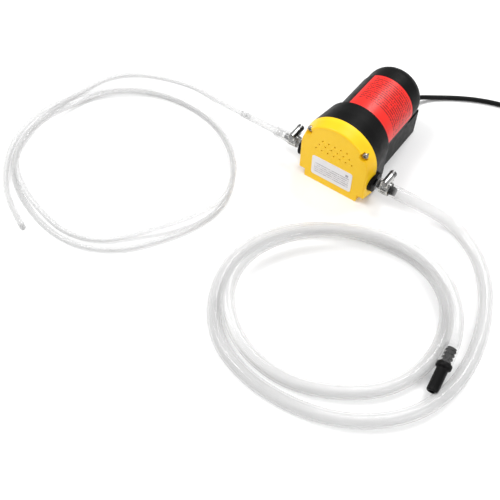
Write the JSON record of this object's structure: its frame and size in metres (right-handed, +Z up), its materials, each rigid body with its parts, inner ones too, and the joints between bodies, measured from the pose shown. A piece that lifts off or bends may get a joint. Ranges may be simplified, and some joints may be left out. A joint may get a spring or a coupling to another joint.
{
  "type": "fluid transfer pump",
  "caption": "Electric gear pump for oil and fuel, in a moulded housing, with clear suction and discharge hoses, hose clamps and a battery lead.",
  "frame": {"origin": "middle of the housing's footprint, on the floor", "axes": "+X towards the outlet port, +Y from the yellow cover to the rear of the motor, +Z up"},
  "size_m": [0.5048, 0.4299, 0.0756],
  "materials": {
    "yellow_moulding": "glossy moulded plastic, yellow-orange",
    "black_moulding": "glossy moulded plastic, black",
    "label_print": "printed vinyl label, white with coloured panels",
    "red_label": "printed vinyl label, red",
    "screw_steel": "zinc-plated steel",
    "clamp_steel": "bright stainless steel",
    "clear_vinyl": "clear flexible vinyl",
    "seal_rubber": "nitrile rubber",
    "bronze": "sintered bronze",
    "hard_steel": "ground steel",
    "can_steel": "plated sheet steel",
    "magnet": "ferrite",
    "lamination": "stacked electrical steel",
    "copper": "enamelled copper wire",
    "carbon": "pressed carbon",
    "nylon": "moulded nylon",
    "gear_nylon": "moulded acetal",
    "cord_black": "flexible PVC sheath, black",
    "wire_red": "flexible PVC insulation, red",
    "clip_steel": "plated spring steel"
  },
  "bodies": {
    "pump": {"front_cover": "yellow_moulding", "cover_screws": "screw_steel", "rating_label": "label_print", "motor_housing": "black_moulding", "rear_cap": "black_moulding", "warning_label": "red_label", "pump_body": "black_moulding", "wear_plate": "gear_nylon", "pump_screws": "screw_steel", "pump_seal": "seal_rubber", "idler_pin": "hard_steel", "shaft_bush": "bronze", "shaft_seal": "seal_rubber", "motor_can": "can_steel", "field_magnets": "magnet", "front_bearing": "hard_steel", "rear_bearing": "hard_steel", "end_bell": "nylon", "brushes": "carbon", "brush_springs": "hard_steel", "tie_screws": "screw_steel", "switch_housing": "nylon", "cable_gland": "seal_rubber", "discharge_hose": "clear_vinyl", "inlet_sleeve": "clear_vinyl", "inlet_reducer": "clear_vinyl", "suction_hose": "clear_vinyl", "outlet_clamp_band": "clamp_steel", "inlet_clamp_band": "clamp_steel", "hose_nozzle": "black_moulding", "power_cord": "cord_black", "cord_coil": "cord_black", "coil_tie": "nylon", "cord_tail": "cord_black", "lead_sleeve": "cord_black", "red_lead": "wire_red", "black_lead": "cord_black", "red_clip_jaw": "clip_steel", "black_clip_jaw": "clip_steel", "clip_pivots": "hard_steel", "clip_springs": "hard_steel"},
    "rotor": {"rotor_shaft": "hard_steel", "drive_gear": "gear_nylon", "armature_core": "lamination", "armature_winding": "copper", "commutator": "copper"},
    "idler": {"idler_gear": "gear_nylon"},
    "rocker": {"switch_rocker": "nylon"},
    "outlet_screw": {"outlet_clamp_screw": "clamp_steel"},
    "inlet_screw": {"inlet_clamp_screw": "clamp_steel"},
    "red_lever": {"red_clip_lever": "clip_steel"},
    "black_lever": {"black_clip_lever": "clip_steel"}
  },
  "joints": [
    {"name": "rotor_spin", "type": "hinge", "parent": "pump", "child": "rotor", "pos_m": [0, 0, 0.04], "axis": [0, 1, 0], "continuous": true},
    {"name": "idler_spin", "type": "hinge", "parent": "pump", "child": "idler", "pos_m": [0, 0, 0.022], "axis": [0, 1, 0], "continuous": true},
    {"name": "rocker_tilt", "type": "hinge", "parent": "pump", "child": "rocker", "pos_m": [0, 0.0606, 0.047], "axis": [0, 0, 1], "range_deg": [0, 20]},
    {"name": "outlet_clamp_turn", "type": "hinge", "parent": "pump", "child": "outlet_screw", "pos_m": [0.05, -0.0453, 0.03265], "axis": [0, 1, 0], "continuous": true},
    {"name": "inlet_clamp_turn", "type": "hinge", "parent": "pump", "child": "inlet_screw", "pos_m": [-0.05, -0.0453, 0.03165], "axis": [0, 1, 0], "continuous": true},
    {"name": "red_clip_open", "type": "hinge", "parent": "pump", "child": "red_lever", "pos_m": [0.176, -0.003, 0.005], "axis": [0, 0, 1], "range_deg": [-20, 0], "stiffness_Nm_per_rad": 0.05},
    {"name": "black_clip_open", "type": "hinge", "parent": "pump", "child": "black_lever", "pos_m": [0.204, -0.003, 0.005], "axis": [0, 0, 1], "range_deg": [-20, 0], "stiffness_Nm_per_rad": 0.05}
  ],
  "couplings": [
    {"joint": "idler_spin", "follows": "rotor_spin", "ratio": -1}
  ]
}
